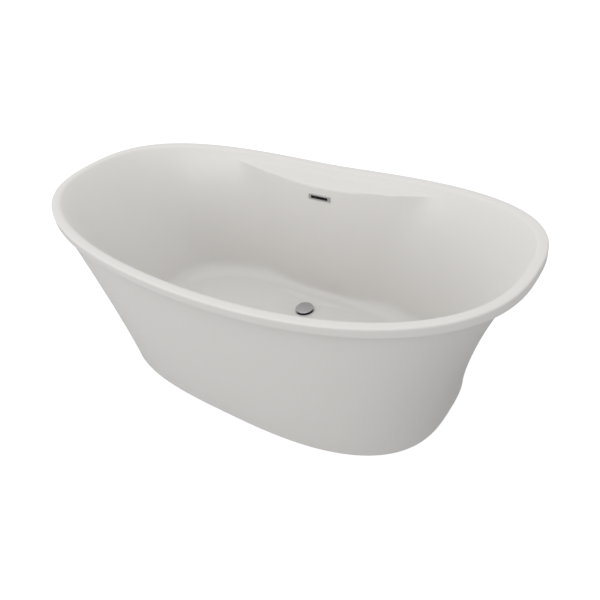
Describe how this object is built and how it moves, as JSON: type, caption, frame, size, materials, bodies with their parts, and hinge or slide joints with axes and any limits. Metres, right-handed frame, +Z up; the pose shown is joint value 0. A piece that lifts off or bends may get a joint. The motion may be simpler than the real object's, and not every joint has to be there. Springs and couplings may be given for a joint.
{
  "type": "freestanding bathtub",
  "caption": "Freestanding double-ended bathtub with flared skirt, saddle-shaped rim, armrest ledge, slot overflow, push-down drain cap and levelling feet.",
  "frame": {"origin": "on the floor, under the middle of the tub", "axes": "+X along the tub's length, +Y towards the side with the overflow, +Z up"},
  "size_m": [1.702, 0.85, 0.6052],
  "materials": {
    "acrylic": "gloss white sanitary acrylic",
    "chrome": "polished chrome",
    "sealant": "white sealant",
    "board": "pressed board",
    "frame_steel": "grey powder coat",
    "zinc_steel": "zinc plated",
    "brass": "plain turned brass",
    "rubber": "black rubber",
    "waste_plastic": "white waste-pipe plastic",
    "pad_plastic": "black moulded plastic"
  },
  "bodies": {
    "tub": {"basin": "acrylic", "skirt": "acrylic", "rim_bond": "sealant", "base_board": "board", "rail_front": "frame_steel", "rail_back": "frame_steel", "crossbar_left": "frame_steel", "crossbar_right": "frame_steel", "mount_tabs": "frame_steel", "board_screws": "zinc_steel", "foot_nuts": "zinc_steel", "skirt_blocks": "board", "tie_plates": "frame_steel", "tie_screws": "zinc_steel", "drain_flange": "chrome", "drain_seal": "sealant", "drain_gasket": "rubber", "drain_shoe": "waste_plastic", "tailpiece": "brass", "link_pipe": "waste_plastic", "waste_elbow": "waste_plastic", "overflow_pipe": "waste_plastic", "slip_nuts": "waste_plastic", "overflow_bezel": "chrome", "overflow_gasket": "rubber", "overflow_housing": "waste_plastic", "overflow_nuts": "zinc_steel"},
    "plug": {"plug_cap": "chrome", "plug_stem": "brass", "plug_seal": "rubber"},
    "foot_pad_1": {"foot_pad_1": "pad_plastic"},
    "foot_stud_1": {"foot_stud_1": "zinc_steel"},
    "foot_pad_2": {"foot_pad_2": "pad_plastic"},
    "foot_stud_2": {"foot_stud_2": "zinc_steel"},
    "foot_pad_3": {"foot_pad_3": "pad_plastic"},
    "foot_stud_3": {"foot_stud_3": "zinc_steel"},
    "foot_pad_4": {"foot_pad_4": "pad_plastic"},
    "foot_stud_4": {"foot_stud_4": "zinc_steel"}
  },
  "joints": [
    {"name": "plug_lift", "type": "slide", "parent": "tub", "child": "plug", "axis": [0, 0, 1], "range_m": [-0.0055, 0]},
    {"name": "foot_travel_1", "type": "slide", "parent": "tub", "child": "foot_pad_1", "axis": [0, 0, 1], "range_m": [-0.015, 0.005]},
    {"name": "stud_turn_1", "type": "hinge", "parent": "foot_pad_1", "child": "foot_stud_1", "pos_m": [-0.43, -0.225, 0.03], "axis": [0, 0, 1], "range_deg": [-3090, 1030]},
    {"name": "foot_travel_2", "type": "slide", "parent": "tub", "child": "foot_pad_2", "axis": [0, 0, 1], "range_m": [-0.015, 0.005]},
    {"name": "stud_turn_2", "type": "hinge", "parent": "foot_pad_2", "child": "foot_stud_2", "pos_m": [-0.43, 0.225, 0.03], "axis": [0, 0, 1], "range_deg": [-3090, 1030]},
    {"name": "foot_travel_3", "type": "slide", "parent": "tub", "child": "foot_pad_3", "axis": [0, 0, 1], "range_m": [-0.015, 0.005]},
    {"name": "stud_turn_3", "type": "hinge", "parent": "foot_pad_3", "child": "foot_stud_3", "pos_m": [0.43, -0.225, 0.03], "axis": [0, 0, 1], "range_deg": [-3090, 1030]},
    {"name": "foot_travel_4", "type": "slide", "parent": "tub", "child": "foot_pad_4", "axis": [0, 0, 1], "range_m": [-0.015, 0.005]},
    {"name": "stud_turn_4", "type": "hinge", "parent": "foot_pad_4", "child": "foot_stud_4", "pos_m": [0.43, 0.225, 0.03], "axis": [0, 0, 1], "range_deg": [-3090, 1030]}
  ],
  "couplings": [
    {"joint": "stud_turn_1", "follows": "foot_travel_1", "rad_per_m": 3590.4},
    {"joint": "stud_turn_2", "follows": "foot_travel_2", "rad_per_m": 3590.4},
    {"joint": "stud_turn_3", "follows": "foot_travel_3", "rad_per_m": 3590.4},
    {"joint": "stud_turn_4", "follows": "foot_travel_4", "rad_per_m": 3590.4}
  ]
}
